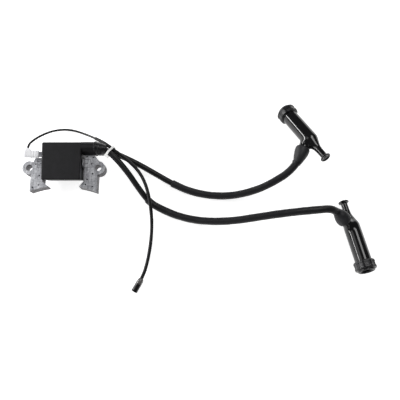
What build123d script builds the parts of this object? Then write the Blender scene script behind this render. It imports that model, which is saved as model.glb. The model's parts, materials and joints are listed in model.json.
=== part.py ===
from build123d import *
import math
import os

# Flywheel ignition coil with two high-tension leads, two plug caps and a kill wire.
# Units are millimetres. The origin is midway between the two mounting holes, on the
# back face of the core. X runs from the left hole to the right hole, Y points away
# from the flywheel and Z points out of the front face of the core.

os.makedirs("parts", exist_ok=True)

# Core
core_depth = 12.0
hole_x = 40.0
hole_radius = 3.75
ear_radius = 8.0
left_leg_outer = 37.4
right_leg_outer = 39.6
leg_inner = 23.7
left_leg_top = 11.9
right_leg_top = 15.6
pole_radius = 108.0
pole_centre_y = -129.3
left_tip_x = 17.2
right_tip_x = 19.3
bar_end = 30.7
bar_top = 10.5
dimple_radius = 0.9
dimple_depth = 0.6

# Coil case, lying around the core bar
case_back = -10.5
case_front = 22.5
case_outline = [(-24.2, 28.0), (-21.8, -17.4), (22.3, -17.4), (21.4, 28.0)]
case_back_bottom = -9.4
cavity_left = -18.2
cavity_right = 19.8
cavity_bottom = -7.6
deep_bottom = -13.0
deep_start = 12.0
cavity_top = 26.0
cavity_front = 20.5
bar_y = bar_top / 2
bar_z = core_depth / 2

# Lead tower on the right of the case
tower_y = 22.8
tower_z = 13.3
tower_end = 37.0
tower_width = 14.4
tower_height = 18.4
lead_offset = 3.9
lead_start = 28.5

# High-tension leads and their sleeves
lead_radius = 3.5
lead_bore = 0.8
conductor_radius = 0.75
sleeve_radius = 4.4
sleeve_bore = 3.55

# Kill wire
wire_radius = 1.3
wire_sleeve_radius = 1.95
wire_sleeve_bore = 1.35

# Plug caps: distances along the cap are from the side branch, positive to the knob
cap_mouth = -50.0
cap_tube_end = -43.0
cap_radius = 9.2
cap_shoulder = 6.0
cap_taper_end = 20.0
cap_stem_radius = 3.9
cap_knob_radius = 6.1
cap_top = 36.5
cap_bore = 6.0
socket_end = -31.0
branch_angle = 55.0
branch_radius = 6.0
branch_bore = 3.58
branch_end = 21.0
lead_end = 11.0
seal_end = 31.0
boot_radius = 11.9
boot_start = -38.5

cap_upper_at = Vector(284.0, 35.4, 17.7)
cap_upper_along = Vector(0.4374, -0.8256, 0.3569)
cap_upper_branch = Vector(-0.406, -0.9135, 0.0)
cap_lower_at = Vector(332.9, -71.6, 4.0)
cap_lower_along = Vector(-0.1495, 0.9583, -0.2433)
cap_lower_branch = Vector(-0.668, 0.593, 0.449)


def save(builder, label):
    builder.part.label = label
    export_step(builder.part, "parts/" + label + ".step")


def box_between(low, high, mode=Mode.ADD):
    centre = [(low[i] + high[i]) / 2 for i in range(3)]
    with Locations(tuple(centre)):
        Box(high[0] - low[0], high[1] - low[1], high[2] - low[2], mode=mode)


def corner_radii(points, last=None):
    """Radius at each inner point: 0.45 of the shorter run over tan of half the turn."""
    radii = []
    for before, here, after in zip(points, points[1:], points[2:]):
        run_in = Vector(*here) - Vector(*before)
        run_out = Vector(*after) - Vector(*here)
        half = math.radians(run_in.get_angle(run_out)) / 2
        radii.append(min(0.45 * min(run_in.length, run_out.length) / math.tan(half), 400.0))
    if last is not None:
        radii[-1] = last
    return radii


def along(a, b, fraction):
    return tuple(a[i] + (b[i] - a[i]) * fraction for i in range(3))


def tube(points, radii, outer, inner=None):
    """A round bar, or a tube when an inner radius is given, along a route."""
    with BuildPart() as made:
        with BuildLine() as path:
            FilletPolyline(*points, radius=radii)
        with BuildSketch(Plane(origin=path.line @ 0, z_dir=path.line % 0)):
            Circle(outer)
            if inner is not None:
                Circle(inner, mode=Mode.SUBTRACT)
        sweep()
    section = math.pi * (outer**2 - (inner or 0) ** 2)
    length = sum(edge.length for edge in path.edges())
    print("route", round(length, 1), "from volume", round(made.part.volume / section, 1))
    return made


def turned(origin, direction, profile, mode=Mode.ADD):
    """Revolve a profile of (distance along, radius) points about a direction."""
    side = Vector(0, 0, 1).cross(direction).normalized()
    with BuildSketch(Plane(origin=origin, x_dir=direction, z_dir=side.cross(direction))) as outline:
        Polygon(*profile, align=None)
    revolve(outline.sketch, axis=Axis(origin, direction), mode=mode)


# Routes -----------------------------------------------------------------------------

cap_upper_branch = cap_upper_branch.normalized()
cap_lower_branch = cap_lower_branch.normalized()


def on_branch(at, branch, distance):
    point = at + branch * distance
    return (point.X, point.Y, point.Z)


upper_route = [
    (28.5, 22.8, 9.4),
    (46.5, 22.8, 9.4),
    (65.0, 16.2, 7.5),
    (85.0, 7.8, 1.2),
    (104.0, -2.0, -4.0),
    (124.0, -13.5, -5.8),
    (145.0, -23.5, -5.8),
    (168.0, -28.8, -5.8),
    (192.0, -30.0, -4.5),
    (215.0, -27.0, 1.2),
    (237.0, -19.5, 9.0),
    on_branch(cap_upper_at, cap_upper_branch, 40.0),
    on_branch(cap_upper_at, cap_upper_branch, lead_end),
]
upper_radii = corner_radii(upper_route, 24.0)

lower_route = [
    (28.5, 22.8, 17.2),
    (46.0, 22.8, 17.2),
    (60.0, 11.5, 15.5),
    (74.0, -4.5, 9.5),
    (86.0, -21.5, 1.5),
    (98.5, -37.5, -4.5),
    (114.0, -46.0, -5.8),
    (133.0, -54.0, -5.8),
    (154.0, -59.2, -4.0),
    (177.0, -61.6, 1.5),
    (200.0, -61.3, 7.5),
    (222.0, -59.8, 14.5),
    (246.0, -57.0, 21.5),
    (270.5, -53.0, 26.0),
    on_branch(cap_lower_at, cap_lower_branch, 45.0),
    on_branch(cap_lower_at, cap_lower_branch, lead_end),
]
lower_radii = corner_radii(lower_route, 23.0)

connector_at = Vector(91.5, -126.5, -6.8)
connector_along = Vector(-0.487, -0.8735, 0.0).normalized()
wire_route = [
    (-42.8, 15.5, 15.5),
    (-42.8, 26.0, 15.5),
    (-38.5, 35.0, 10.0),
    (-30.0, 46.0, 1.0),
    (-18.0, 54.2, -6.8),
    (-1.0, 55.4, -8.6),
    (20.0, 47.2, -4.0),
    (44.0, 32.6, 9.2),
    (58.0, 21.7, 14.5),
    (72.5, 11.5, 12.8),
    (86.0, -1.5, 8.5),
    (94.5, -16.5, 6.0),
    (99.3, -33.0, 5.2),
    (101.8, -51.0, -0.5),
    (102.2, -66.0, -7.0),
    (101.2, -84.0, -8.6),
    (98.6, -103.0, -8.6),
    on_branch(connector_at, connector_along, -6.0),
    on_branch(connector_at, connector_along, 4.8),
]
wire_radii = corner_radii(wire_route)

# Core -------------------------------------------------------------------------------


def pole_y(x):
    return pole_centre_y + math.sqrt(pole_radius**2 - x**2)


def core_leg(side, top, cut, drop, dimples, outer, tip):
    """One leg of the laminated core; side is +1 for the right leg, -1 for the left.

    Its top outer corner is cut off over (cut, drop).
    """
    middle = (outer + tip) / 2
    with BuildPart() as leg:
        with BuildSketch():
            with BuildLine():
                Polyline(
                    (side * tip, pole_y(tip)),
                    (side * tip, pole_y(tip) + 1.2),
                    (side * leg_inner, -16.6),
                    (side * leg_inner, top),
                    (side * (outer - cut), top),
                    (side * outer, top - drop),
                    (side * outer, pole_y(outer)),
                )
                ThreePointArc(
                    (side * outer, pole_y(outer)),
                    (side * middle, pole_y(middle)),
                    (side * tip, pole_y(tip)),
                )
            make_face()
            with Locations((side * hole_x, 0)):
                Circle(ear_radius)
                Circle(hole_radius, mode=Mode.SUBTRACT)
            with Locations((side * (leg_inner + bar_end) / 2, bar_top / 2)):
                Rectangle(bar_end - leg_inner, bar_top, mode=Mode.SUBTRACT)
        extrude(amount=core_depth)
        with BuildSketch(Plane.XY.offset(core_depth)):
            with Locations(*dimples):
                Circle(dimple_radius)
        extrude(amount=-dimple_depth, mode=Mode.SUBTRACT)
    return leg


left_dimples = [(-32.6, 4.4), (-34.5, -23.6), (-27.6, -9.5), (-27.4, -20.6)]
right_dimples = [
    (26.4, 13.2),
    (34.0, 12.6),
    (34.0, -7.3),
    (28.0, -14.2),
    (26.6, -20.3),
    (34.6, -22.6),
    (32.4, 4.6),
]
core_leg_left = core_leg(-1, left_leg_top, 3.6, 9.4, left_dimples, left_leg_outer, left_tip_x)
save(core_leg_left, "core_leg_left")
core_leg_right = core_leg(1, right_leg_top, 4.5, 6.0, right_dimples, right_leg_outer, right_tip_x)
save(core_leg_right, "core_leg_right")

with BuildPart() as core_bar:
    box_between((-bar_end, 0, 0), (bar_end, bar_top, core_depth))
    with BuildSketch(Plane.XY.offset(core_depth)):
        with Locations((-27.6, 5.2), (27.6, 5.2)):
            Circle(dimple_radius)
    extrude(amount=-dimple_depth, mode=Mode.SUBTRACT)
save(core_bar, "core_bar")

# Windings ---------------------------------------------------------------------------

primary_tube = (13.3, 14.8)
primary_outer = (17.3, 18.8)
secondary_tube = (20.1, 21.6)
secondary_outer = (23.0, 26.0)
rib_outer = (24.0, 27.0)
flange = 1.2


def ring(x_low, x_high, outer, inner, mode=Mode.ADD):
    """A rectangular ring around the core bar; sizes are (along Y, along Z)."""
    with BuildSketch(Plane.YZ.offset(x_low)) as outline:
        with Locations((bar_y, bar_z)):
            Rectangle(*outer)
            if inner is not None:
                Rectangle(*inner, mode=Mode.SUBTRACT)
    extrude(outline.sketch, amount=x_high - x_low, mode=mode)


with BuildPart() as primary_bobbin:
    ring(cavity_left, cavity_right, primary_tube, (bar_top, core_depth))
    ring(cavity_left, cavity_left + flange, primary_outer, (bar_top, core_depth))
    ring(cavity_right - flange, cavity_right, primary_outer, (bar_top, core_depth))
save(primary_bobbin, "primary_bobbin")

with BuildPart() as primary_winding:
    ring(cavity_left + flange, cavity_right - flange, primary_outer, primary_tube)
save(primary_winding, "primary_winding")

chambers = 4
chamber_start = cavity_left + flange
chamber_pitch = (cavity_right - flange - chamber_start) / chambers

with BuildPart() as secondary_bobbin:
    ring(cavity_left, cavity_right, secondary_tube, primary_outer)
    ring(cavity_left, cavity_left + flange, rib_outer, primary_outer)
    for number in range(1, chambers + 1):
        rib_end = chamber_start + number * chamber_pitch + (flange if number == chambers else 0)
        ring(rib_end - flange, rib_end, rib_outer, primary_outer)
save(secondary_bobbin, "secondary_bobbin")

for number in range(chambers):
    low = chamber_start + number * chamber_pitch
    high = low + chamber_pitch - (0 if number == chambers - 1 else flange)
    with BuildPart() as secondary_winding:
        ring(low, high, secondary_outer, secondary_tube)
    save(secondary_winding, "secondary_winding_" + str(number + 1))

# Trigger circuit above the windings ---------------------------------------------------

board_low = 20.4
board_high = 22.0
with BuildPart() as trigger_board:
    box_between((-15.0, board_low, -4.0), (13.0, board_high, 14.0))
save(trigger_board, "trigger_board")

with BuildPart() as power_transistor:
    box_between((-12.0, board_high, 0.0), (-4.0, board_high + 2.6, 10.5))
    with BuildSketch(Plane.XZ.offset(-board_high)):
        with Locations((-8.0, 8.4)):
            Circle(1.6)
    extrude(amount=-3.0, mode=Mode.SUBTRACT)
save(power_transistor, "power_transistor")

with BuildPart() as board_resistor:
    turned(Vector(0.5, board_high + 1.3, 4.0), Vector(1, 0, 0), [(0, 0), (0, 1.3), (8, 1.3), (8, 0)])
save(board_resistor, "board_resistor")

# Terminals on the left ----------------------------------------------------------------

with BuildPart() as kill_tab:
    box_between((-35.0, 12.0, 14.9), (cavity_left, 18.3, 15.7))
    with BuildSketch(Plane.XY.offset(14.9)):
        with Locations((-32.5, 15.15)):
            Circle(0.9)
    extrude(amount=0.8, mode=Mode.SUBTRACT)
save(kill_tab, "kill_tab")

with BuildPart() as ground_strap:
    box_between((-32.0, 7.6, core_depth), (cavity_left, 11.2, core_depth + 0.8))
    box_between((-24.6, 7.6, core_depth + 0.8), (-23.8, 11.2, core_depth + 2.0))
save(ground_strap, "ground_strap")

# Contact pins -------------------------------------------------------------------------

pin_heights = {"upper": tower_z - lead_offset, "lower": tower_z + lead_offset}
contact_pins = {}
for tag, height in pin_heights.items():
    with BuildPart() as contact_pin:
        turned(
            Vector(15.0, tower_y, height),
            Vector(1, 0, 0),
            [(0, 0), (0, 1.6), (1.2, 1.6), (1.2, lead_bore), (17.0, lead_bore), (19.0, 0)],
        )
    contact_pins[tag] = contact_pin
    save(contact_pin, "contact_pin_" + tag)

# Coil case and potting ------------------------------------------------------------------

with BuildPart() as coil_case:
    with BuildSketch(Plane.XY.offset(case_back)):
        Polygon(*case_outline, align=None)
    extrude(amount=case_front - case_back)
    fillet(coil_case.edges().filter_by(Axis.Z), 2.0)
    fillet(coil_case.faces().sort_by(Axis.Z)[-1].edges(), 1.6)
    with BuildSketch(Plane.YZ.offset(-40.0)):
        Polygon(
            (case_outline[1][1] - 0.01, case_front + 0.01),
            (case_back_bottom, case_back - 0.01),
            (-30.0, case_back - 0.01),
            (-30.0, case_front + 0.01),
            align=None,
        )
    extrude(amount=80.0, mode=Mode.SUBTRACT)
    with BuildSketch(Plane.YZ.offset(20.0)):
        with Locations((tower_y, tower_z)):
            SlotOverall(tower_height, tower_width, rotation=90)
    extrude(amount=tower_end - 20.0)
    box_between(
        (cavity_left, cavity_bottom, case_back),
        (cavity_right, cavity_top, cavity_front),
        mode=Mode.SUBTRACT,
    )
    box_between(
        (cavity_left, deep_bottom, deep_start),
        (cavity_right, cavity_bottom, cavity_front),
        mode=Mode.SUBTRACT,
    )
    box_between((-30.0, 0, 0), (30.0, bar_top, core_depth), mode=Mode.SUBTRACT)
    for height in pin_heights.values():
        with BuildSketch(Plane.YZ.offset(lead_start)):
            with Locations((tower_y, height)):
                Circle(lead_radius)
        extrude(amount=20.0, mode=Mode.SUBTRACT)
    for pin in contact_pins.values():
        add(pin.part, mode=Mode.SUBTRACT)
    add(kill_tab.part, mode=Mode.SUBTRACT)
    add(ground_strap.part, mode=Mode.SUBTRACT)
save(coil_case, "coil_case")

with BuildPart() as potting_resin:
    box_between((cavity_left, cavity_bottom, case_back + 0.8), (cavity_right, cavity_top, cavity_front))
    box_between((cavity_left, deep_bottom, deep_start), (cavity_right, cavity_bottom, cavity_front))
    ring(cavity_left, cavity_right, rib_outer, None, mode=Mode.SUBTRACT)
    for solid in (trigger_board, power_transistor, board_resistor):
        add(solid.part, mode=Mode.SUBTRACT)
    for pin in contact_pins.values():
        add(pin.part, mode=Mode.SUBTRACT)
save(potting_resin, "potting_resin")

# Leads ------------------------------------------------------------------------------

lead_body = {}
for tag, route, radii, branch_at, branch in (
    ("upper", upper_route, upper_radii, cap_upper_at, cap_upper_branch),
    ("lower", lower_route, lower_radii, cap_lower_at, cap_lower_branch),
):
    print("lead", tag, "bend radii", [round(r, 1) for r in radii])
    lead_body[tag] = tube(route, radii, lead_radius)
    lead = tube(route, radii, lead_radius, lead_bore)
    save(lead, "ht_lead_" + tag)
    inner_route = [(34.5,) + route[0][1:]] + route[1:-1] + [on_branch(branch_at, branch, 19.0)]
    conductor = tube(inner_route, radii, conductor_radius)
    save(conductor, "lead_conductor_" + tag)

upper_sleeve_route = [along(upper_route[5], upper_route[6], 0.45)] + upper_route[6:-1]
upper_sleeve_route.append(on_branch(cap_upper_at, cap_upper_branch, seal_end + 0.5))
lead_sleeve_upper = tube(upper_sleeve_route, upper_radii[5:], sleeve_radius, sleeve_bore)
save(lead_sleeve_upper, "lead_sleeve_upper")

lower_sleeve_route = [along(lower_route[4], lower_route[5], 0.55)] + lower_route[5:-1]
lower_sleeve_route.append(on_branch(cap_lower_at, cap_lower_branch, seal_end + 0.5))
lead_sleeve_lower = tube(lower_sleeve_route, lower_radii[4:], sleeve_radius, sleeve_bore)
save(lead_sleeve_lower, "lead_sleeve_lower")

boot_collar_start = 35.8
boot_taper_start = 38.5
boot_end = 49.0
with BuildPart() as tower_boot:
    with BuildSketch(Plane.YZ.offset(boot_collar_start)):
        with Locations((tower_y, tower_z)):
            SlotOverall(tower_height + 1.6, tower_width + 1.6, rotation=90)
    extrude(amount=boot_taper_start - boot_collar_start)
    with BuildSketch(Plane.YZ.offset(boot_taper_start)):
        with Locations((tower_y, tower_z)):
            SlotOverall(tower_height, tower_width, rotation=90)
    with BuildSketch(Plane.YZ.offset(boot_end)):
        with Locations((21.2, tower_z)):
            SlotOverall(16.0, 10.4, rotation=90)
    loft()
    with BuildSketch(Plane.YZ.offset(boot_collar_start)):
        with Locations((tower_y, tower_z)):
            SlotOverall(tower_height, tower_width, rotation=90)
    extrude(amount=tower_end - boot_collar_start, mode=Mode.SUBTRACT)
    add(lead_body["upper"].part, mode=Mode.SUBTRACT)
    add(lead_body["lower"].part, mode=Mode.SUBTRACT)
save(tower_boot, "tower_boot")

# Kill wire ----------------------------------------------------------------------------

print("kill wire bend radii", [round(r, 1) for r in wire_radii])
kill_wire = tube(wire_route, wire_radii, wire_radius)
save(kill_wire, "kill_wire")

wire_sleeve_route = [along(wire_route[6], wire_route[7], 0.5)] + wire_route[7:-1]
wire_sleeve_route.append(on_branch(connector_at, connector_along, -0.6))
kill_wire_sleeve = tube(wire_sleeve_route, wire_radii[6:], wire_sleeve_radius, wire_sleeve_bore)
save(kill_wire_sleeve, "kill_wire_sleeve")

with BuildPart() as flag_terminal:
    box_between((-38.0, 11.5, 14.2), (-29.0, 18.8, 16.4))
    box_between((-41.2, 12.6, 14.9), (-38.0, 18.2, 15.7))
    turned(Vector(-42.8, 12.5, 15.5), Vector(0, 1, 0), [(0, 0), (0, 1.75), (7.5, 1.75), (7.5, 0)])
    add(kill_tab.part, mode=Mode.SUBTRACT)
    box_between((-35.4, 12.0, 14.9), (-28.0, 18.3, 15.7), mode=Mode.SUBTRACT)
    add(kill_wire.part, mode=Mode.SUBTRACT)
save(flag_terminal, "flag_terminal")

with BuildPart() as flag_cover:
    box_between((-45.8, 10.9, 12.9), (-28.4, 19.7, 18.1))
    fillet(flag_cover.edges().filter_by(Axis.Z), 1.4)
    turned(Vector(-42.8, 19.0, 15.5), Vector(0, 1, 0), [(0, 0), (0, 2.6), (3.6, 2.4), (3.8, 0)])
    box_between((-45.0, 11.5, 13.7), (-28.0, 18.9, 17.3), mode=Mode.SUBTRACT)
    turned(
        Vector(-42.8, 18.0, 15.5),
        Vector(0, 1, 0),
        [(0, 0), (0, 1.8), (2.2, 1.8), (2.2, wire_radius + 0.3), (8, wire_radius + 0.3), (8, 0)],
        mode=Mode.SUBTRACT,
    )
save(flag_cover, "flag_cover")

receptacle_profile = [(2.6, 0), (2.6, 1.7), (7.0, 1.7), (8.0, 2.6), (15.4, 2.6), (15.4, 0)]
with BuildPart() as bullet_receptacle:
    turned(connector_at, connector_along, receptacle_profile)
    turned(connector_at, connector_along, [(8.6, 0), (8.6, 2.0), (16, 2.0), (16, 0)], mode=Mode.SUBTRACT)
    add(kill_wire.part, mode=Mode.SUBTRACT)
save(bullet_receptacle, "bullet_receptacle")

with BuildPart() as bullet_cover:
    turned(
        connector_at,
        connector_along,
        [(-0.4, 0), (-0.4, 2.7), (2.4, 3.5), (15.0, 3.6), (16.2, 3.5), (16.2, 0)],
    )
    turned(
        connector_at,
        connector_along,
        [
            (-1, 0),
            (-1, wire_radius + 0.05),
            (2.6, wire_radius + 0.05),
            (2.6, 1.7),
            (7.0, 1.7),
            (8.0, 2.6),
            (17, 2.6),
            (17, 0),
        ],
        mode=Mode.SUBTRACT,
    )
save(bullet_cover, "bullet_cover")

# Cable tie around both leads and the kill wire ------------------------------------------

tie_across = Vector(0.6, 0.8, 0)
tie_plane = Plane(origin=(54.5, 19.5, 12.5), x_dir=tie_across, z_dir=Vector(0.8, -0.6, 0))
tie_corners = [(0.6, -4.0), (-2.9, 3.8), (2.0, 1.8)]
tie_gap = 3.95
tie_thickness = 0.85
tie_width = 2.4
with BuildPart() as cable_tie:
    with BuildSketch(tie_plane):
        Polygon(*tie_corners, align=None)
        offset(amount=tie_gap + tie_thickness, kind=Kind.ARC)
    extrude(amount=tie_width / 2, both=True)
    with BuildSketch(tie_plane):
        with Locations((-7.7, 3.0)):
            Rectangle(3.0, 4.6)
    extrude(amount=2.2, both=True)
    with BuildSketch(tie_plane):
        with Locations((-8.2, -0.6)):
            Rectangle(1.0, 5.0)
    extrude(amount=tie_width / 2, both=True)
    with BuildSketch(tie_plane):
        Polygon(*tie_corners, align=None)
        offset(amount=tie_gap, kind=Kind.ARC)
    extrude(amount=4.0, both=True, mode=Mode.SUBTRACT)
save(cable_tie, "cable_tie")

# Plug caps ----------------------------------------------------------------------------


def plug_cap(tag, at, axis_hint, branch):
    """All seven pieces of one plug cap, placed about its side branch."""
    square = (axis_hint - branch * axis_hint.dot(branch)).normalized()
    angle = math.radians(branch_angle)
    knob_way = branch * math.cos(angle) + square * math.sin(angle)

    with BuildPart() as lead_screw:
        turned(at, branch, [(1.0, 0), (1.0, 1.2), (10.6, 1.2), (10.6, 0.7), (17.0, 0.7), (18.0, 0)])
    save(lead_screw, "cap_lead_screw_" + tag)

    with BuildPart() as cap_body:
        turned(
            at,
            knob_way,
            [
                (cap_tube_end, 0),
                (cap_tube_end, cap_radius),
                (cap_shoulder - 1.2, cap_radius),
                (cap_shoulder + 0.8, cap_radius - 0.5),
                (cap_taper_end, cap_stem_radius),
                (34.0, cap_stem_radius - 0.2),
                (34.2, 5.5),
                (34.8, cap_knob_radius),
                (35.7, cap_knob_radius),
                (cap_top, 5.2),
                (cap_top, 0),
            ],
        )
        turned(
            at,
            branch,
            [
                (3.0, 0),
                (3.0, 7.4),
                (9.0, 7.3),
                (12.0, 6.4),
                (14.0, branch_radius),
                (branch_end, branch_radius),
                (branch_end, 0),
            ],
        )
        turned(
            at,
            knob_way,
            [
                (-45.0, 0),
                (-45.0, cap_bore),
                (socket_end, cap_bore),
                (socket_end, 5.0),
                (-22.0, 5.0),
                (-22.0, 3.2),
                (-0.4, 3.2),
                (-0.4, 0),
            ],
            mode=Mode.SUBTRACT,
        )
        turned(at, branch, [(10.6, 0), (10.6, branch_bore), (22, branch_bore), (22, 0)], mode=Mode.SUBTRACT)
        add(lead_screw.part, mode=Mode.SUBTRACT)
    save(cap_body, "cap_body_" + tag)

    with BuildPart() as cap_seal:
        turned(
            at,
            branch,
            [
                (14.6, branch_radius),
                (14.6, 7.8),
                (15.6, 8.5),
                (21.0, 8.1),
                (29.8, 5.9),
                (seal_end, 5.3),
                (seal_end, branch_bore),
                (branch_end + 0.2, branch_bore),
                (branch_end + 0.2, branch_radius),
            ],
        )
    save(cap_seal, "cap_seal_" + tag)

    with BuildPart() as cap_boot:
        turned(
            at,
            knob_way,
            [
                (cap_mouth, cap_bore),
                (cap_mouth, 8.8),
                (cap_mouth + 0.4, 9.3),
                (cap_mouth + 2.4, 9.3),
                (cap_mouth + 2.4, 11.3),
                (cap_mouth + 3.0, boot_radius),
                (boot_start - 1.0, boot_radius),
                (boot_start, 11.1),
                (boot_start, cap_radius),
                (cap_tube_end, cap_radius),
                (cap_tube_end, cap_bore),
            ],
        )
    save(cap_boot, "cap_boot_" + tag)

    with BuildPart() as cap_resistor:
        turned(
            at,
            knob_way,
            [
                (-14.0, 0),
                (-14.0, 3.0),
                (-12.0, 3.0),
                (-12.0, 2.7),
                (-2.6, 2.7),
                (-2.6, 3.0),
                (-0.6, 3.0),
                (-0.6, 0),
            ],
        )
    save(cap_resistor, "cap_resistor_" + tag)

    spring_at = at - knob_way * 21.6
    with BuildPart() as cap_spring:
        with BuildLine() as coil_line:
            Helix(pitch=1.5, height=7.1, radius=2.3, center=spring_at, direction=knob_way)
        with BuildSketch(Plane(origin=coil_line.line @ 0, z_dir=coil_line.line % 0)):
            Circle(0.35)
        sweep(is_frenet=True)
    save(cap_spring, "cap_spring_" + tag)

    with BuildPart() as plug_clip:
        turned(
            at,
            knob_way,
            [
                (-30.6, 3.3),
                (-30.6, 4.6),
                (-24.4, 4.6),
                (-24.4, 4.95),
                (-22.1, 4.95),
                (-22.1, 0),
                (-23.4, 0),
                (-23.4, 3.3),
            ],
        )
    save(plug_clip, "cap_plug_clip_" + tag)


plug_cap("upper", cap_upper_at, cap_upper_along, cap_upper_branch)
plug_cap("lower", cap_lower_at, cap_lower_along, cap_lower_branch)
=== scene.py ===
import json
import math
import random

import bmesh
import bpy
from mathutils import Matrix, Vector


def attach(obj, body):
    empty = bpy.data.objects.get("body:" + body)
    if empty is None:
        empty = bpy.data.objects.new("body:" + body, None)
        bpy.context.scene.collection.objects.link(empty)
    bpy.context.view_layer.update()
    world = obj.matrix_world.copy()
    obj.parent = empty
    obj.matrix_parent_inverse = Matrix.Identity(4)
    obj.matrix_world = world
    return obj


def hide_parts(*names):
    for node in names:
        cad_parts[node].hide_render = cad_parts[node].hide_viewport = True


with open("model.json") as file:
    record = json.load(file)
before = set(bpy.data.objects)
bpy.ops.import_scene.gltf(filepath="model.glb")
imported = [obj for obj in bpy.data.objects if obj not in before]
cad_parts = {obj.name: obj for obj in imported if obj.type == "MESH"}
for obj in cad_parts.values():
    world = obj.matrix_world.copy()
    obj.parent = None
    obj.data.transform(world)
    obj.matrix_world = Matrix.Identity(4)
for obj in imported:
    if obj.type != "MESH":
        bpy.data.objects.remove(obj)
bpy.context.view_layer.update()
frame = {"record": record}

# Visual model of a flywheel ignition coil with two plug leads, two caps and a kill wire.
# Tables and profiles are in millimetres in the part's own frame; meshes are in metres.

MM = 0.001
FLOOR_Z = -10.5 * MM


def mm(x, y, z):
    """A place given in millimetres, in metres."""
    return Vector((x, y, z)) * MM


# Materials --------------------------------------------------------------------------


class Shader:
    """A node material that starts from a Principled shader."""

    def __init__(self, name, **sockets):
        self.material = bpy.data.materials.new(name)
        self.material.use_nodes = True
        self.tree = self.material.node_tree
        self.nodes = self.tree.nodes
        self.bsdf = self.nodes["Principled BSDF"]
        for socket, value in sockets.items():
            self.bsdf.inputs[socket.replace("_", " ")].default_value = value
        self.coords = self.nodes.new("ShaderNodeTexCoord")

    def link(self, source, target):
        self.tree.links.new(source, target)

    def math(self, operation, first, second=0.0, third=0.0):
        node = self.nodes.new("ShaderNodeMath")
        node.operation = operation
        for number, value in enumerate((first, second, third)):
            if isinstance(value, (int, float)):
                node.inputs[number].default_value = value
            else:
                self.link(value, node.inputs[number])
        return node.outputs[0]

    def noise(self, scale, detail=3.0, roughness=0.5, stretch=(1, 1, 1)):
        mapping = self.nodes.new("ShaderNodeMapping")
        mapping.inputs["Scale"].default_value = stretch
        self.link(self.coords.outputs["Object"], mapping.inputs["Vector"])
        node = self.nodes.new("ShaderNodeTexNoise")
        node.inputs["Scale"].default_value = scale
        node.inputs["Detail"].default_value = detail
        node.inputs["Roughness"].default_value = roughness
        self.link(mapping.outputs[0], node.inputs["Vector"])
        return node.outputs["Fac"]

    def ramp(self, factor, stops):
        node = self.nodes.new("ShaderNodeValToRGB")
        elements = node.color_ramp.elements
        while len(elements) < len(stops):
            elements.new(0.5)
        for element, (position, colour) in zip(elements, stops):
            element.position = position
            element.color = (*colour, 1.0)
        self.link(factor, node.inputs["Fac"])
        return node.outputs["Color"]

    def spread(self, factor, low, high, start=0.3, end=0.7):
        node = self.nodes.new("ShaderNodeMapRange")
        node.inputs["From Min"].default_value = start
        node.inputs["From Max"].default_value = end
        node.inputs["To Min"].default_value = low
        node.inputs["To Max"].default_value = high
        self.link(factor, node.inputs["Value"])
        return node.outputs["Result"]

    def colour(self, source):
        self.link(source, self.bsdf.inputs["Base Color"])

    def roughness(self, source):
        self.link(source, self.bsdf.inputs["Roughness"])

    def bump(self, height, strength, distance):
        node = self.nodes.new("ShaderNodeBump")
        node.inputs["Strength"].default_value = strength
        node.inputs["Distance"].default_value = distance
        self.link(height, node.inputs["Height"])
        if self.bsdf.inputs["Normal"].is_linked:
            self.link(self.bsdf.inputs["Normal"].links[0].from_socket, node.inputs["Normal"])
        self.link(node.outputs[0], self.bsdf.inputs["Normal"])


def moulded(name, dark, light, rough, rough_spread, grain, bump, **sockets):
    """A moulded plastic or rubber: cloudy colour, uneven gloss and a fine grain."""
    shader = Shader(name, **sockets)
    cloud = shader.noise(90.0, 4.0, 0.6)
    shader.colour(shader.ramp(cloud, [(0.3, dark), (0.72, light)]))
    fine = shader.noise(grain, 2.0, 0.5)
    blotch = shader.noise(260.0, 5.0, 0.65)
    shader.roughness(shader.spread(blotch, rough - rough_spread, rough + rough_spread))
    shader.bump(fine, bump, 0.00012)
    return shader.material


def metal(name, dark, light, rough, rough_spread, stretch=(1, 1, 1), scale=420.0, bump=0.12):
    """A plated or bare metal with stains, uneven gloss and fine scratches."""
    shader = Shader(name, Metallic=1.0)
    stain = shader.noise(scale, 6.0, 0.62, stretch)
    shader.colour(shader.ramp(stain, [(0.3, dark), (0.7, light)]))
    wear = shader.noise(scale * 0.6, 5.0, 0.6)
    shader.roughness(shader.spread(wear, rough - rough_spread, rough + rough_spread))
    shader.bump(shader.noise(scale * 6.0, 3.0, 0.6, stretch), bump, 0.0001)
    return shader.material


def smoky_cover(name, mouth, along, length):
    """A clear soft sleeve, smoky at the wire, painted near-black round the mouth of the connector as
    painted shade of its open end.
    """
    shader = Shader(name, Specular_IOR_Level=0.6)
    split = shader.nodes.new("ShaderNodeSeparateXYZ")
    shader.link(shader.coords.outputs["Object"], split.inputs[0])
    across = shader.math("MULTIPLY", split.outputs[0], along.x)
    forward = shader.math("MULTIPLY_ADD", split.outputs[1], along.y, across)
    mouth_at = mouth.dot(along)
    share = shader.spread(forward, 0.0, 1.0, mouth_at - length, mouth_at)
    cloud = shader.noise(700.0, 4.0, 0.6)
    smoke = shader.ramp(cloud, [(0.3, (0.06, 0.057, 0.055)), (0.72, (0.26, 0.25, 0.245))])
    mix = shader.nodes.new("ShaderNodeMix")
    mix.data_type = "RGBA"
    # Painted shade: the sleeve turns near-black towards the mouth, standing in for the shadow inside
    # the open end.
    painted_mouth_shade = shader.ramp(share, [(0.60, (0.0, 0.0, 0.0)), (0.70, (1.0, 1.0, 1.0))])
    shader.link(painted_mouth_shade, mix.inputs["Factor"])
    shader.link(smoke, mix.inputs["A"])
    mix.inputs["B"].default_value = (0.008, 0.008, 0.009, 1.0)
    shader.colour(mix.outputs["Result"])
    shader.roughness(shader.spread(shader.noise(260.0, 5.0, 0.65), 0.14, 0.26))
    shader.bump(shader.noise(700.0, 2.0, 0.5), 0.18, 0.00012)
    return shader.material


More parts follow.
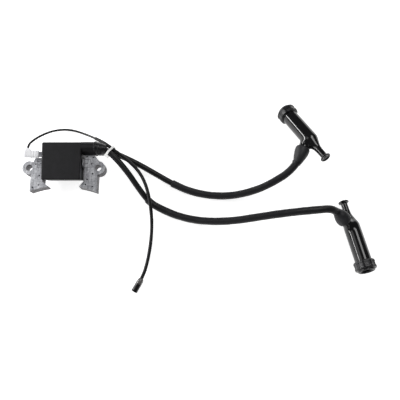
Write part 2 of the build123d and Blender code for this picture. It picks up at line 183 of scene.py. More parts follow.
def laminated(name):
    """Pickled transformer steel: mottled bright faces, and layered edges painted dark, partly as
    painted shade on the side walls.
    """
    shader = Shader(name, Metallic=1.0)
    stain = shader.noise(520.0, 6.0, 0.66)
    streak = shader.noise(260.0, 4.0, 0.6, (1.0, 0.25, 1.0))
    blend = shader.math("MULTIPLY_ADD", streak, 0.5, shader.math("MULTIPLY", stain, 0.5))
    face = shader.ramp(
        blend, [(0.36, (0.20, 0.20, 0.22)), (0.5, (0.47, 0.475, 0.50)), (0.64, (0.74, 0.745, 0.77))]
    )
    split = shader.nodes.new("ShaderNodeSeparateXYZ")
    shader.link(shader.coords.outputs["Normal"], split.inputs[0])
    # Faces pointing up or down take the bright face colour. Every side wall, dimple walls included,
    # takes the dark layered colour: real layer texture plus painted shade.
    flat = shader.math("GREATER_THAN", shader.math("ABSOLUTE", split.outputs[2]), 0.5)
    layers = shader.noise(700.0, 4.0, 0.6, (1, 1, 3))
    layered_edge_and_shade = shader.ramp(layers, [(0.3, (0.05, 0.048, 0.05)), (0.7, (0.17, 0.165, 0.17))])
    mix = shader.nodes.new("ShaderNodeMix")
    mix.data_type = "RGBA"
    shader.link(flat, mix.inputs["Factor"])
    shader.link(layered_edge_and_shade, mix.inputs["A"])
    shader.link(face, mix.inputs["B"])
    shader.colour(mix.outputs["Result"])
    shader.roughness(shader.spread(shader.noise(300.0, 5.0, 0.6), 0.34, 0.56))
    shader.bump(stain, 0.25, 0.00015)
    shader.bump(shader.noise(2600.0, 3.0, 0.6), 0.12, 0.0001)
    return shader.material


THREADS_AROUND = 16
THREAD_PITCH = 1.7 * MM


def braid(name, dark, light):
    """Varnished woven sleeving: two crossing sets of threads laid out on the tube's UVs."""
    shader = Shader(name, Roughness=0.42, Specular_IOR_Level=0.3)
    split = shader.nodes.new("ShaderNodeSeparateXYZ")
    shader.link(shader.coords.outputs["UV"], split.inputs[0])
    around = shader.math("MULTIPLY", split.outputs[0], 2 * math.pi * THREADS_AROUND)
    forward = shader.math("MULTIPLY", split.outputs[1], 2 * math.pi / THREAD_PITCH)
    threads = []
    for sign in (1, -1):
        phase = shader.math("MULTIPLY_ADD", around, sign, forward)
        wave = shader.math("SINE", phase)
        threads.append(shader.math("MULTIPLY_ADD", wave, 0.5, 0.5))
    weave = shader.math("MAXIMUM", threads[0], threads[1])
    shader.colour(shader.ramp(weave, [(0.35, dark), (0.95, light)]))
    dirt = shader.noise(160.0, 5.0, 0.6)
    shader.roughness(shader.spread(dirt, 0.34, 0.52))
    shader.bump(weave, 0.35, 0.00014)
    shader.bump(shader.noise(900.0, 3.0, 0.6), 0.15, 0.0001)
    return shader.material


MOULDED = {
    "case_plastic": dict(
        dark=(0.008, 0.008, 0.009), light=(0.014, 0.0135, 0.016),
        rough=0.44, rough_spread=0.06, grain=5200.0, bump=0.16, Specular_IOR_Level=0.26,
    ),
    "potting_resin": dict(
        dark=(0.008, 0.008, 0.008), light=(0.02, 0.019, 0.018),
        rough=0.3, rough_spread=0.1, grain=900.0, bump=0.25,
    ),
    "bobbin_plastic": dict(
        dark=(0.6, 0.56, 0.45), light=(0.72, 0.68, 0.58),
        rough=0.5, rough_spread=0.08, grain=3000.0, bump=0.2,
    ),
    "circuit_board": dict(
        dark=(0.02, 0.13, 0.05), light=(0.03, 0.2, 0.08),
        rough=0.35, rough_spread=0.1, grain=1500.0, bump=0.2,
    ),
    "component_black": dict(
        dark=(0.01, 0.01, 0.01), light=(0.02, 0.02, 0.02),
        rough=0.5, rough_spread=0.1, grain=3000.0, bump=0.2,
    ),
    "boot_rubber": dict(
        dark=(0.006, 0.006, 0.007), light=(0.015, 0.015, 0.017),
        rough=0.32, rough_spread=0.09, grain=2400.0, bump=0.35, Specular_IOR_Level=0.42,
    ),
    "seal_rubber": dict(
        dark=(0.010, 0.010, 0.0115), light=(0.032, 0.032, 0.036),
        rough=0.52, rough_spread=0.08, grain=3000.0, bump=0.4, Specular_IOR_Level=0.4,
    ),
    "lead_insulation": dict(
        dark=(0.006, 0.006, 0.007), light=(0.014, 0.014, 0.016),
        rough=0.42, rough_spread=0.09, grain=2600.0, bump=0.3, Specular_IOR_Level=0.3,
    ),
    "wire_insulation": dict(
        dark=(0.004, 0.004, 0.004), light=(0.009, 0.009, 0.009),
        rough=0.36, rough_spread=0.06, grain=2600.0, bump=0.15, Specular_IOR_Level=0.3,
    ),
    "wire_sleeve": dict(
        dark=(0.006, 0.006, 0.007), light=(0.014, 0.014, 0.015),
        rough=0.48, rough_spread=0.08, grain=2600.0, bump=0.3, Specular_IOR_Level=0.3,
    ),
    "cap_plastic": dict(
        dark=(0.004, 0.004, 0.0045), light=(0.007, 0.007, 0.008),
        rough=0.11, rough_spread=0.025, grain=700.0, bump=0.04,
        Specular_IOR_Level=0.42, Coat_Weight=0.3, Coat_Roughness=0.07,
    ),
    # Emission_Strength here is painted light: the white nylon glows faintly to look brighter than
    # the lamps make it.
    "nylon_tie": dict(
        dark=(0.92, 0.92, 0.91), light=(0.97, 0.97, 0.96),
        rough=0.36, rough_spread=0.06, grain=2600.0, bump=0.12, Emission_Strength=0.16,
    ),
    # Emission_Strength here is painted light: the clear cover glows faintly to look brighter than
    # the lamps make it.
    "clear_cover": dict(
        dark=(0.80, 0.80, 0.84), light=(0.97, 0.97, 0.98),
        rough=0.26, rough_spread=0.1, grain=1100.0, bump=0.3,
        Transmission_Weight=0.12, Emission_Strength=0.16, IOR=1.42,
    ),
    "resistor_ceramic": dict(
        dark=(0.6, 0.55, 0.45), light=(0.75, 0.7, 0.6),
        rough=0.3, rough_spread=0.05, grain=1800.0, bump=0.1,
    ),
}
METALS = {
    "tinned_steel": dict(
        dark=(0.10, 0.10, 0.11), light=(0.34, 0.34, 0.36),
        rough=0.36, rough_spread=0.1,
    ),
    # Kept dark as painted shade, so the receptacle deep in the connector's mouth reads black.
    "tinned_brass": dict(
        dark=(0.05, 0.046, 0.04), light=(0.16, 0.15, 0.13),
        rough=0.3, rough_spread=0.08,
    ),
    "brass_parts": dict(
        dark=(0.45, 0.3, 0.12), light=(0.72, 0.52, 0.24),
        rough=0.28, rough_spread=0.08,
    ),
    "copper_wire": dict(
        dark=(0.5, 0.2, 0.09), light=(0.7, 0.33, 0.15),
        rough=0.3, rough_spread=0.08, stretch=(1, 1, 1), scale=800.0,
    ),
}
CONNECTOR_MOUTH = mm(85.66, -136.98, -6.8)
CONNECTOR_WAY = Vector((-0.487, -0.8734, 0.0))
CONNECTOR_LENGTH = 17.0 * MM

MATERIALS = {name: moulded(name, **look) for name, look in MOULDED.items()}
MATERIALS.update({name: metal(name, **look) for name, look in METALS.items()})
MATERIALS["grey_cover"] = smoky_cover("grey_cover", CONNECTOR_MOUTH, CONNECTOR_WAY, CONNECTOR_LENGTH)
MATERIALS["laminated_steel"] = laminated("laminated_steel")
MATERIALS["woven_sleeve"] = braid("woven_sleeve", (0.005, 0.005, 0.006), (0.022, 0.022, 0.025))

slot_of = {entry["node"]: entry["material_slot"] for entry in frame["record"]["subparts"]}
for node, slot in slot_of.items():
    mesh = bpy.data.objects[node].data
    mesh.materials.clear()
    mesh.materials.append(MATERIALS[slot])


# Making pieces ----------------------------------------------------------------------


def finish_piece(obj, body, slot, replaced=(), smooth=True):
    """Give a piece its material, its body and the CAD nodes that it stands for."""
    obj.data.materials.clear()
    obj.data.materials.append(MATERIALS[slot])
    if smooth and obj.type == "MESH":
        obj.data.shade_smooth()
    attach(obj, body)
    if replaced:
        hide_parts(*replaced)
    return obj


def mesh_piece(name, bm):
    """Turn a bmesh into an object in the scene."""
    mesh = bpy.data.meshes.new(name)
    bmesh.ops.recalc_face_normals(bm, faces=bm.faces)
    bm.to_mesh(mesh)
    bm.free()
    obj = bpy.data.objects.new(name, mesh)
    bpy.context.scene.collection.objects.link(obj)
    return obj


def bevel(obj, width):
    """Round an object's sharp edges and keep the result as its mesh."""
    modifier = obj.modifiers.new("edges", "BEVEL")
    modifier.width = width
    modifier.segments = 2
    modifier.limit_method = "ANGLE"
    modifier.angle_limit = 0.6
    modifier.harden_normals = False
    bpy.context.view_layer.update()
    evaluated = obj.evaluated_get(bpy.context.evaluated_depsgraph_get())
    mesh = bpy.data.meshes.new_from_object(evaluated)
    obj.modifiers.clear()
    obj.data = mesh


def cord_curve(name, route, radius):
    """A round cord along a route; the points carry the radius, so the depth is 1."""
    curve = bpy.data.curves.new(name, "CURVE")
    curve.dimensions = "3D"
    spline = curve.splines.new("NURBS")
    spline.points.add(len(route) - 1)
    for point, place in zip(spline.points, route):
        point.co = (*mm(*place), 1.0)
        point.radius = radius * MM
    spline.order_u = 3
    spline.use_endpoint_u = True
    curve.resolution_u = 16
    curve.bevel_depth = 1.0
    curve.bevel_resolution = 8
    curve.use_fill_caps = True
    obj = bpy.data.objects.new(name, curve)
    bpy.context.scene.collection.objects.link(obj)
    return obj


def centre_line(cord):
    """Points along a cord's spline, in order, with the distance to each."""
    depth = cord.data.bevel_depth
    caps = cord.data.use_fill_caps
    cord.data.bevel_depth = 0.0
    cord.data.use_fill_caps = False
    bpy.context.view_layer.update()
    evaluated = cord.evaluated_get(bpy.context.evaluated_depsgraph_get())
    mesh = bpy.data.meshes.new_from_object(evaluated)
    points = [vertex.co.copy() for vertex in mesh.vertices]
    bpy.data.meshes.remove(mesh)
    cord.data.bevel_depth = depth
    cord.data.use_fill_caps = caps
    distances = [0.0]
    for before, after in zip(points, points[1:]):
        distances.append(distances[-1] + (after - before).length)
    return points, distances


def at_distance(line, distance):
    """The place at a distance along a centre line."""
    points, distances = line
    for number in range(1, len(points)):
        if distances[number] >= distance:
            step = distances[number] - distances[number - 1]
            share = (distance - distances[number - 1]) / step if step else 0.0
            return points[number - 1].lerp(points[number], share)
    return points[-1].copy()


def distance_near(line, place):
    """The distance along a centre line of its point nearest to a place in mm."""
    points, distances = line
    target = mm(*place)
    nearest = min(range(len(points)), key=lambda number: (points[number] - target).length)
    return distances[nearest]


def sleeve_piece(name, line, start, end, radius, inner, seed, ripple=0.012, around=40, flare=0.0):
    """A soft tube round a cord: outer wall, rolled ends and a short inner wall."""
    rng = random.Random(seed)
    phases = [rng.uniform(0, 2 * math.pi) for _ in range(3)]
    steps = max(8, int((end - start) / (1.0 * MM)))
    stations = [(start + (end - start) * number / steps, radius) for number in range(steps + 1)]
    lip = (radius - inner) * 0.5
    head = [
        (start + 3.0 * MM, inner),
        (start + 0.4 * MM, inner),
        (start, inner + 0.3 * lip),
        (start, radius - 0.35 * lip),
        (start + 0.25 * MM, radius),
    ]
    tail = [
        (end - 1.4 * MM, radius + 0.4 * flare),
        (end - 0.25 * MM, radius + flare),
        (end, radius + flare - 0.35 * lip),
        (end, inner + 0.3 * lip),
        (end - 0.4 * MM, inner),
        (end - 3.0 * MM, inner),
    ]
    rings = head + stations[1:-2] + tail
    bm = bmesh.new()
    uv_layer = bm.loops.layers.uv.new("UVMap")
    side = None
    loops = []
    for distance, size in rings:
        here = at_distance(line, distance)
        behind = at_distance(line, max(distance - 0.5 * MM, 0.0))
        ahead = (at_distance(line, distance + 0.5 * MM) - behind).normalized()
        if side is None:
            side = ahead.orthogonal().normalized()
        side = (side - ahead * side.dot(ahead)).normalized()
        up = ahead.cross(side)
        loop = []
        for number in range(around):
            angle = 2 * math.pi * number / around
            wobble = (
                math.sin(distance * 190 + phases[0] + 2 * angle)
                + 0.6 * math.sin(distance * 410 + phases[1] - 3 * angle)
                + 0.4 * math.sin(distance * 830 + phases[2] + angle)
            )
            reach = size * (1 + ripple * wobble * (1 if size > inner * 1.01 else 0))
            loop.append(bm.verts.new(here + (side * math.cos(angle) + up * math.sin(angle)) * reach))
        loops.append((distance, loop))
    for (low, first), (high, second) in zip(loops, loops[1:]):
        for number in range(around):
            after = (number + 1) % around
            face = bm.faces.new((first[number], first[after], second[after], second[number]))
            values = ((number, low), (number + 1, low), (number + 1, high), (number, high))
            for corner, (turn, distance) in zip(face.loops, values):
                corner[uv_layer].uv = (turn / around, distance)
    return mesh_piece(name, bm)


def rounded(profile, default=0.0):
    """A profile of (distance, radius[, corner]) with each inner corner rounded."""
    points = [Vector((entry[0], entry[1])) for entry in profile]
    out = [points[0]]
    for number in range(1, len(points) - 1):
        corner = profile[number][2] if len(profile[number]) > 2 else default
        before, here, after = points[number - 1 : number + 2]
        reach = min(corner, 0.48 * (here - before).length, 0.48 * (after - here).length)
        if reach < 1e-3:
            out.append(here)
            continue
        start = here + (before - here).normalized() * reach
        end = here + (after - here).normalized() * reach
        for step in range(6):
            t = step / 5
            out.append(start.lerp(here, t).lerp(here.lerp(end, t), t))
    out.append(points[-1])
    return out


def split_long(points, longest):
    """The same line of points with no step longer than a given length."""
    out = [points[0]]
    for before, after in zip(points, points[1:]):
        parts = max(1, math.ceil((after - before).length / longest))
        for part in range(1, parts + 1):
            out.append(before.lerp(after, part / parts))
    return out


def lathe(bm, at, along, points, around=80, shape=None):
    """Add a turned surface to bm, from (distance, radius) points in mm.

    shape(distance, radius, direction, angle), when given, returns the radius to use there.
    """
    side = along.orthogonal().normalized()
    up = along.cross(side)
    loops = []
    for distance, radius in points:
        base = at + along * distance
        if radius < 1e-3:
            loops.append([bm.verts.new(base * MM)])
            continue
        loop = []
        for number in range(around):
            angle = 2 * math.pi * number / around
            way = side * math.cos(angle) + up * math.sin(angle)
            reach = shape(distance, radius, way, angle) if shape else radius
            loop.append(bm.verts.new((base + way * reach) * MM))
        loops.append(loop)
    for first, second in zip(loops, loops[1:]):
        for number in range(around):
            after = (number + 1) % around
            corners = [first[number % len(first)], first[after % len(first)]]
            corners += [second[after % len(second)], second[number % len(second)]]
            corners = list(dict.fromkeys(corners))
            if len(corners) > 2:
                bm.faces.new(corners)


def join_loops(bm, loops):
    """Add the faces between neighbouring loops of equally many points."""
    for first, second in zip(loops, loops[1:]):
        for turn in range(len(first)):
            after = (turn + 1) % len(first)
            bm.faces.new((first[turn], first[after], second[after], second[turn]))


# Camera, light and floor ---------------------------------------------------------------

CAMERA_PLACE = (158.31, -153.76, 511.54)
CAMERA_ELEVATION = math.radians(77.0)

camera_data = bpy.data.cameras.new("camera")
camera_data.lens = 40.41
camera_data.sensor_width = 36.0
camera_data.clip_start = 0.01
camera = bpy.data.objects.new("camera", camera_data)
bpy.context.scene.collection.objects.link(camera)
camera.location = mm(*CAMERA_PLACE)
view_down = Vector((0.0, math.cos(CAMERA_ELEVATION), -math.sin(CAMERA_ELEVATION)))
camera.rotation_euler = view_down.to_track_quat("-Z", "Y").to_euler()
bpy.context.scene.camera = camera
bpy.context.scene.view_settings.view_transform = "Standard"


def area_light(name, place, target, size, size_y, power):
    """A rectangular light at a place, turned to a target; metres and watts."""
    data = bpy.data.lights.new(name, "AREA")
    data.shape = "RECTANGLE"
    data.size = size
    data.size_y = size_y
    data.energy = power
    light = bpy.data.objects.new(name, data)
    bpy.context.scene.collection.objects.link(light)
    light.location = place
    light.rotation_euler = (Vector(target) - Vector(place)).to_track_quat("-Z", "Y").to_euler()


area_light("left_strip", (-0.72, 0.16, 0.30), (0.3, 0.0, 0.0), 1.3, 0.11, 8.0)
area_light("right_softbox", (0.52, 0.44, 0.89), (0.33, -0.05, 0.0), 0.36, 0.6, 3.0)
area_light("coil_softbox", (-0.2, 0.13, 0.45), (0.0, 0.0, 0.0), 0.3, 0.3, 0.30)
area_light("front_fill", (0.15, -0.9, 0.5), (0.15, -0.02, 0.0), 1.2, 0.2, 0.8)

world = bpy.data.worlds.new("studio")
world.use_nodes = True
world.node_tree.nodes["Background"].inputs["Color"].default_value = (1.0, 1.0, 1.0, 1.0)
world.node_tree.nodes["Background"].inputs["Strength"].default_value = 0.09
bpy.context.scene.world = world

floor_mesh = bpy.data.meshes.new("floor")
floor_bm = bmesh.new()
bmesh.ops.create_grid(floor_bm, x_segments=1, y_segments=1, size=3.0)
floor_bm.to_mesh(floor_mesh)
floor_bm.free()
floor = bpy.data.objects.new("floor", floor_mesh)
floor.location = (0.15, 0.0, FLOOR_Z - 0.0001)
bpy.context.scene.collection.objects.link(floor)
floor_shader = Shader("floor_paper", Roughness=0.9)
floor_shader.bsdf.inputs["Base Color"].default_value = (0.93, 0.93, 0.93, 1.0)
floor_shader.bsdf.inputs["Emission Color"].default_value = (1.0, 1.0, 1.0, 1.0)
floor_shader.bsdf.inputs["Emission Strength"].default_value = 0.8
floor_mesh.materials.append(floor_shader.material)

# Leads and kill wire -------------------------------------------------------------------

# For each cap: where its branch meets its axis, the way of the branch, the way to the knob
CAPS = {
    "upper": (
        Vector((284.0, 35.4, 17.7)),
        Vector((-0.406138, -0.913812, 0.0)),
        Vector((0.440414, -0.823414, 0.357806)),
    ),
    "lower": (
        Vector((332.9, -71.6, 4.0)),
        Vector((-0.668176, 0.593156, 0.449118)),
        Vector((-0.16189, 0.959424, -0.23086)),
    ),
}
LEAD_RADIUS = 3.5
WIRE_RADIUS = 1.3
SLEEVE_RADIUS = 4.4
SLEEVE_BORE = 3.6
# For each lead: where its sleeve starts, its reach along the branch, random seed, end flare
LEAD_SLEEVES = {
    "upper": ((125.0, -15.0, -5.6), 33.4, 3, 0.9),
    "lower": ((96.0, -34.5, -3.5), 30.4, 5, 0.75),
}


def on_branch(tag, distance):
    """A place on the axis of a cap's side branch, in mm."""
    at, branch, _ = CAPS[tag]
    return tuple(at + branch * distance)


UPPER_ROUTE = [
    (28.5, 22.8, 9.4),
    (46.5, 22.8, 9.4),
    (65.0, 16.2, 7.5),
    (85.0, 7.8, 1.2),
    (104.0, -2.0, -4.0),
    (124.0, -13.5, -5.8),
    (145.0, -23.5, -5.8),
    (168.0, -28.8, -5.8),
    (192.0, -30.0, -4.5),
    (215.0, -27.0, 1.2),
    (237.5, -20.2, 9.0),
    (268.4, -2.0, 17.7),
    on_branch("upper", 21.5),
]
LOWER_ROUTE = [
    (28.5, 22.8, 17.2),
    (46.0, 22.8, 17.2),
    (60.0, 11.5, 15.5),
    (74.0, -4.5, 9.5),
    (86.0, -21.5, 1.5),
    (98.5, -37.5, -4.5),
    (114.0, -46.0, -5.8),
    (133.0, -54.0, -5.8),
    (154.0, -59.2, -4.0),
    (177.0, -61.6, 1.5),
    (200.0, -61.3, 7.5),
    (222.0, -59.0, 14.5),
    (246.0, -56.4, 21.0),
    (269.0, -54.3, 24.6),
    (289.0, -52.8, 26.6),
    (302.6, -51.4, 25.4),
    on_branch("lower", 31.0),
    on_branch("lower", 21.5),
]
CONNECTOR_AT = Vector((91.5, -126.5, -6.8))
CONNECTOR_ALONG = Vector((-0.487, -0.8735, 0.0)).normalized()
WIRE_ROUTE = [
    (-42.8, 15.5, 15.5),
    (-42.8, 26.0, 15.5),
    (-38.5, 35.0, 10.0),
    (-30.0, 46.0, 1.0),
    (-18.0, 54.2, -6.8),
    (-1.0, 55.4, -8.3),
    (20.0, 47.2, -4.0),
    (44.0, 32.6, 9.2),
    (57.5, 21.1, 14.5),
    (71.9, 10.9, 12.8),
    (86.0, -1.5, 8.5),
    (94.5, -16.5, 6.0),
    (99.3, -33.0, 5.2),
    (101.8, -51.0, -0.5),
    (102.2, -66.0, -7.0),
    (101.2, -84.0, -8.3),
    (98.6, -103.0, -8.3),
    tuple(CONNECTOR_AT - CONNECTOR_ALONG * 6.0),
    tuple(CONNECTOR_AT + CONNECTOR_ALONG * 4.8),
]

lead_lines = {}
for tag, route in (("upper", UPPER_ROUTE), ("lower", LOWER_ROUTE)):
    lead = cord_curve("lead_" + tag, route, LEAD_RADIUS)
    finish_piece(lead, "coil", "lead_insulation", ("ht_lead_" + tag, "lead_conductor_" + tag))
    lead_lines[tag] = centre_line(lead)

wire = cord_curve("kill_wire_cord", WIRE_ROUTE, WIRE_RADIUS)
finish_piece(wire, "coil", "wire_insulation", ("kill_wire",))
wire_line = centre_line(wire)

for tag, (sleeve_start, reach, seed, flare) in LEAD_SLEEVES.items():
    line = lead_lines[tag]
    sleeve = sleeve_piece(
        "sleeve_" + tag,
        line,
        distance_near(line, sleeve_start),
        distance_near(line, on_branch(tag, reach)),
        SLEEVE_RADIUS * MM,
        SLEEVE_BORE * MM,
        seed,
        flare=flare * MM,
    )
    finish_piece(sleeve, "coil", "woven_sleeve", ("lead_sleeve_" + tag,))
wire_sleeve = sleeve_piece(
    "wire_sleeve",
    wire_line,
    distance_near(wire_line, (33.0, 38.5, 3.5)),
    distance_near(wire_line, tuple(CONNECTOR_AT - CONNECTOR_ALONG * 0.6)),
    2.0 * MM,
    1.4 * MM,
    7,
    ripple=0.02,
    around=24,
)
finish_piece(wire_sleeve, "coil", "wire_sleeve", ("kill_wire_sleeve",))

# Core sheets ---------------------------------------------------------------------------

CORE_THICKNESS = 12.0 * MM
SHEETS = 24
PIT_SHEETS = 6  # sheets at the front that the dimples go through
SHEET_PITCH = CORE_THICKNESS / SHEETS
SHEET_GAP = 0.05 * MM
SHEET_SHIFT = 0.03 * MM


def flat_region(node, height):
    """The triangles of a CAD node's flat face at one height, as points in the plane."""
    mesh = bpy.data.objects[node].data
    points = []
    numbers = {}
    faces = []
    for polygon in mesh.polygons:
        corners = [mesh.vertices[number].co for number in polygon.vertices]
        if any(abs(corner.z - height) > 1e-5 for corner in corners):
            continue
        face = []
        for corner in corners:
            key = (round(corner.x, 6), round(corner.y, 6))
            if key not in numbers:
                numbers[key] = len(points)
                points.append(key)
            face.append(numbers[key])
        if len(set(face)) == len(face):
            faces.append(face)
    return points, faces


def sheet_stack(name, node, replaced, shrink=0.0):
    """The node's outline as a stack of separate stamped sheets."""
    rng = random.Random(name)

    def drawn_in(point):
        x, y = point
        return x - math.copysign(shrink, x), y + (shrink if y < 5 * MM else -shrink)

    back, front = [
        ([drawn_in(point) for point in points], faces)
        for points, faces in (flat_region(node, 0.0), flat_region(node, CORE_THICKNESS))
    ]
    bm = bmesh.new()
    for number in range(SHEETS):
        points, faces = front if number >= SHEETS - PIT_SHEETS else back
        low = number * SHEET_PITCH
        high = low + SHEET_PITCH - (SHEET_GAP if number < SHEETS - 1 else 0.0)
        shift_x = rng.uniform(-SHEET_SHIFT, SHEET_SHIFT)
        shift_y = rng.uniform(-SHEET_SHIFT, SHEET_SHIFT)
        edges = {}
        bottom = [bm.verts.new((x + shift_x, y + shift_y, low)) for x, y in points]
        top = [bm.verts.new((x + shift_x, y + shift_y, high)) for x, y in points]
        for face in faces:
            bm.faces.new([top[corner] for corner in face])
            bm.faces.new([bottom[corner] for corner in reversed(face)])
            for first, second in zip(face, face[1:] + face[:1]):
                key = (min(first, second), max(first, second))
                edges.setdefault(key, []).append((first, second))
        for uses in edges.values():
            if len(uses) == 1:
                first, second = uses[0]
                bm.faces.new((bottom[first], bottom[second], top[second], top[first]))
    bmesh.ops.dissolve_limit(bm, angle_limit=0.01, verts=bm.verts, edges=bm.edges)
    obj = mesh_piece(name, bm)
    finish_piece(obj, "coil", "laminated_steel", replaced, smooth=False)


for side in ("left", "right"):
    sheet_stack("core_sheets_" + side, "core_leg_" + side, ("core_leg_" + side,))
sheet_stack("core_sheets_bar", "core_bar", ("core_bar",), 0.4 * MM)

# Plug caps ------------------------------------------------------------------------------

# Profiles are (distance along the axis, radius[, radius of the rounded corner])
TUBE_RADIUS = 9.2
BRANCH_RADIUS = 6.0
BLEND = 3.0  # width of the soft fillet between body and branch
OUTER_PROFILE = [
    (-43.0, TUBE_RADIUS),
    (6.0, TUBE_RADIUS, 2.2),
    (18.6, 4.3, 3.4),
    (24.0, 3.9),
    (32.6, 3.75, 1.0),
    (34.0, 4.3, 0.5),
    (34.5, 5.9, 0.4),
    (35.0, 6.1, 0.3),
    (35.8, 6.0, 0.4),
    (36.2, 5.3, 0.4),
    (36.1, 4.5, 0.3),
    (34.9, 4.0, 0.4),
    (34.8, 1.8, 0.3),
    (35.6, 1.2, 0.3),
    (35.7, 0.0),
]
BORE_PROFILE = [
    (-43.0, TUBE_RADIUS),
    (-43.0, 6.0),
    (-31.0, 6.0),
    (-31.0, 5.0),
    (-22.0, 5.0),
    (-22.0, 3.2),
    (-0.4, 3.2),
    (-0.4, 0.0),
]
SEAL_PROFILE = [
    (21.2, 3.62),
    (14.4, 6.1),
    (14.4, 7.3, 0.5),
    (16.2, 8.3, 0.9),
    (20.5, 8.4, 2.0),
    (26.0, 7.3, 2.5),
]
SEAL_END = {"upper": 34.2, "lower": 31.2}
BOOT_PROFILE = [
    (-43.0, 9.15),
    (-43.0, 6.0, 0.3),
    (-48.3, 6.1, 0.8),
    (-49.8, 7.4, 0.4),
    (-50.0, 8.3, 0.3),
    (-49.9, 9.2, 0.4),
    (-47.9, 9.3, 0.3),
    (-47.7, 11.2, 0.3),
    (-47.1, 11.85, 0.5),
    (-45.4, 11.85, 0.4),
    (-45.1, 11.45, 0.2),
    (-41.4, 11.45, 0.2),
    (-41.1, 11.8, 0.3),
    (-39.4, 11.8, 0.5),
    (-38.6, 11.2, 0.4),
    (-38.5, 9.8, 0.3),
    (-38.3, 9.25),
]
outer_points = rounded(OUTER_PROFILE)


def tube_radius_at(distance):
    """Radius of the cap's body at a distance along its axis."""
    if distance <= outer_points[0].x:
        return outer_points[0].y
    for before, after in zip(outer_points, outer_points[1:]):
        if before.x <= distance <= after.x and after.x > before.x:
            return before.y + (after.y - before.y) * (distance - before.x) / (after.x - before.x)
    return 0.0


def blended_distance(place, at, along, branch):
    """Signed distance to the body and its branch, joined by a soft fillet."""
    from_centre = place - at
    distance = from_centre.dot(along)
    body = (from_centre - along * distance).length - tube_radius_at(distance)
    out = from_centre.dot(branch)
    stub = (from_centre - branch * out).length - BRANCH_RADIUS + max(0.0, -out)
    overlap = max(BLEND - abs(body - stub), 0.0)
    return min(body, stub) - overlap * overlap / (4 * BLEND)


def swollen(base, way, radius, most, at, along, branch):
    """The radius at which the blended surface is met when going outward."""
    low, high = 0.0, most
    if blended_distance(base + way * (radius + high), at, along, branch) < 0:
        return radius + high
    for _ in range(14):
        middle = (low + high) / 2
        if blended_distance(base + way * (radius + middle), at, along, branch) < 0:
            low = middle
        else:
            high = middle
    return radius + low


for tag, (at, branch, along) in CAPS.items():
    at, branch, along = at.copy(), branch.normalized(), along.normalized()

    def body_shape(distance, radius, way, angle):
        """The body swells where the branch leaves it."""
        if -16 < distance < 22:
            return swollen(at + along * distance, way, radius, 3.2, at, along, branch)
        return radius

    def stub_shape(distance, radius, way, angle):
        """The branch swells toward the body."""
        if distance < 19:
            return swollen(at + branch * distance, way, radius, 4.4, at, along, branch)
        return radius

    bm = bmesh.new()
    lathe(bm, at, along, split_long(outer_points, 0.8), 96, body_shape)
    lathe(bm, at, along, rounded(BORE_PROFILE), 64)
    stub = split_long([Vector((2.0, BRANCH_RADIUS)), Vector((20.8, BRANCH_RADIUS))], 0.5)
    stub += [Vector((21.0, 5.8)), Vector((21.0, 3.6)), Vector((12.0, 3.6))]
    lathe(bm, at, branch, stub, 80, stub_shape)
    body = mesh_piece("cap_shell_" + tag, bm)
    finish_piece(body, "cap_" + tag, "cap_plastic", ("cap_body_" + tag,))

    bm = bmesh.new()
    rng = random.Random("seal" + tag)
    turns = [rng.uniform(0, 6.28) for _ in range(2)]

    def seal_shape(distance, radius, way, angle):
        """A slightly uneven outside, as on a soft part squeezed over the lead."""
        uneven = math.sin(2 * angle + turns[0] + distance * 0.3)
        uneven += 0.6 * math.sin(5 * angle + turns[1] - distance * 0.6)
        return radius * (1 + 0.010 * uneven) if radius > 4.5 else radius

    tip = SEAL_END[tag]
    nose = [(tip - 0.9, 4.9, 0.5), (tip, 4.6, 0.3), (tip, 3.7), (21.4, 3.62)]
    lathe(bm, at, branch, split_long(rounded(SEAL_PROFILE + nose), 0.8), 72, seal_shape)
    seal = mesh_piece("cap_grommet_" + tag, bm)
    finish_piece(seal, "cap_" + tag, "seal_rubber", ("cap_seal_" + tag,))

    bm = bmesh.new()

    def boot_shape(distance, radius, way, angle):
        """Nine grip ribs round the widest part."""
        if -47.2 < distance < -39.0 and radius > 11.2:
            wave = math.sin(9 * angle)
            return radius - 0.5 * (0.5 - 0.5 * math.tanh(3 * wave))
        return radius

    lathe(bm, at, along, split_long(rounded(BOOT_PROFILE), 0.6), 144, boot_shape)
    boot = mesh_piece("cap_collar_" + tag, bm)
    finish_piece(boot, "cap_" + tag, "boot_rubber", ("cap_boot_" + tag,))

# Flag terminal cover ------------------------------------------------------------------


def flag_cover_piece():
    """A soft ribbed cover over the flag terminal, with a short neck round the wire."""
    bm = bmesh.new()
    left, right, middle_z = -45.6, -28.6, 15.5
    stations = 46
    around = 48
    loops = []
    for number in range(stations + 1):
        share = number / stations
        x = left + (right - left) * share
        end = min(share, 1 - share) * stations / 4
        close = math.sqrt(max(0.0, 1 - (1 - min(end, 1.0)) ** 2))
        rib = 0.035 * math.cos(x * 2 * math.pi / 2.9) if -38.0 < x < -29.5 else 0.0
        lobe = 0.5 - 0.5 * math.tanh((x + 38.4) / 0.8)
        half_y = (4.2 + 1.35 * lobe) * (0.74 + 0.26 * close) * (1 + rib)
        half_z = 2.35 * (0.62 + 0.38 * close) * (1 + 1.8 * rib)
        middle_y = 15.4 + 1.55 * lobe
        loop = []
        for turn in range(around):
            angle = 2 * math.pi * turn / around
            c, d = math.cos(angle), math.sin(angle)
            y = math.copysign(abs(c) ** 0.55, c) * half_y
            z = math.copysign(abs(d) ** 0.55, d) * half_z
            loop.append(bm.verts.new(mm(x, middle_y + y, middle_z + z)))
        loops.append(loop)
    join_loops(bm, loops)
    bm.faces.new(loops[0])
    bm.faces.new(loops[-1])
    neck = [
        (18.5, 2.5),
        (20.4, 2.45, 0.6),
        (22.0, 1.9, 0.5),
        (22.7, 1.75, 0.2),
        (22.7, 1.2),
        (19.0, 1.2),
    ]
    lathe(bm, Vector((-42.8, 0.0, middle_z)), Vector((0, 1, 0)), rounded(neck), 32)
    return mesh_piece("flag_sleeve", bm)


finish_piece(flag_cover_piece(), "coil", "clear_cover", ("flag_cover",))

# Tower boot -----------------------------------------------------------------------------


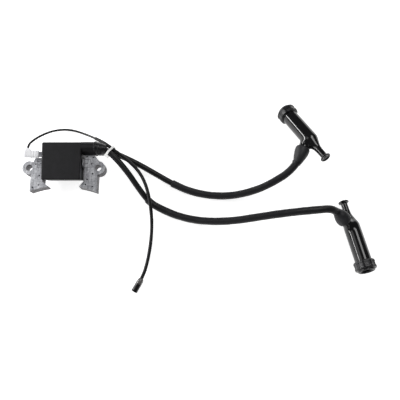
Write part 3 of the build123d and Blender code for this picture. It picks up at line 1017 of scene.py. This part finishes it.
def tower_boot_piece():
    """The rubber boot over the lead tower: a lip, two rings and a tapering nose."""
    bm = bmesh.new()
    # x, half width, half height
    profile = [
        (35.9, 7.3, 9.3),
        (35.9, 7.8, 9.8),
        (36.2, 8.0, 10.0),
        (38.1, 8.0, 10.0),
        (38.4, 7.8, 9.8),
        (38.5, 7.3, 9.3),
        (40.2, 7.2, 9.15),
        (40.5, 7.35, 9.3),
        (41.1, 7.35, 9.3),
        (41.4, 7.0, 9.0),
        (43.6, 6.75, 8.85),
        (43.9, 6.9, 9.0),
        (44.5, 6.85, 8.95),
        (44.8, 6.5, 8.6),
        (47.0, 5.9, 8.3),
        (48.6, 5.3, 8.1),
        (48.95, 4.9, 7.7),
        (49.0, 4.2, 7.0),
    ]
    around = 72
    loops = []
    for x, half_y, half_z in profile:
        lean = 22.8 - 1.6 * max(0.0, x - 38.5) / 10.5
        loop = []
        for turn in range(around):
            angle = 2 * math.pi * turn / around
            c, d = math.cos(angle), math.sin(angle)
            straight = half_z - half_y
            offset = math.copysign(straight, d) * min(1.0, abs(d) * 8)
            loop.append(bm.verts.new(mm(x, lean + half_y * c, 13.3 + offset + half_y * d)))
        loops.append(loop)
    join_loops(bm, loops)
    bm.faces.new(loops[-1])
    return mesh_piece("tower_sleeve", bm)


finish_piece(tower_boot_piece(), "coil", "boot_rubber", ("tower_boot",))

# Steel wedge between the case and the right leg ---------------------------------------------


def bevelled_plate(name, low, high, width):
    """A box between two corners, in mm, with its edges rounded."""
    bm = bmesh.new()
    bmesh.ops.create_cube(bm, size=1.0)
    middle, size = (Vector(low) + Vector(high)) / 2, Vector(high) - Vector(low)
    for vertex in bm.verts:
        vertex.co = Vector((middle[axis] + vertex.co[axis] * size[axis] for axis in range(3))) * MM
    obj = mesh_piece(name, bm)
    bevel(obj, width * MM)
    return obj


wedge = bevelled_plate("core_wedge", (22.5, 0.6, 11.9), (23.6, 9.6, 16.6), 0.25)
finish_piece(wedge, "coil", "laminated_steel", smooth=False)
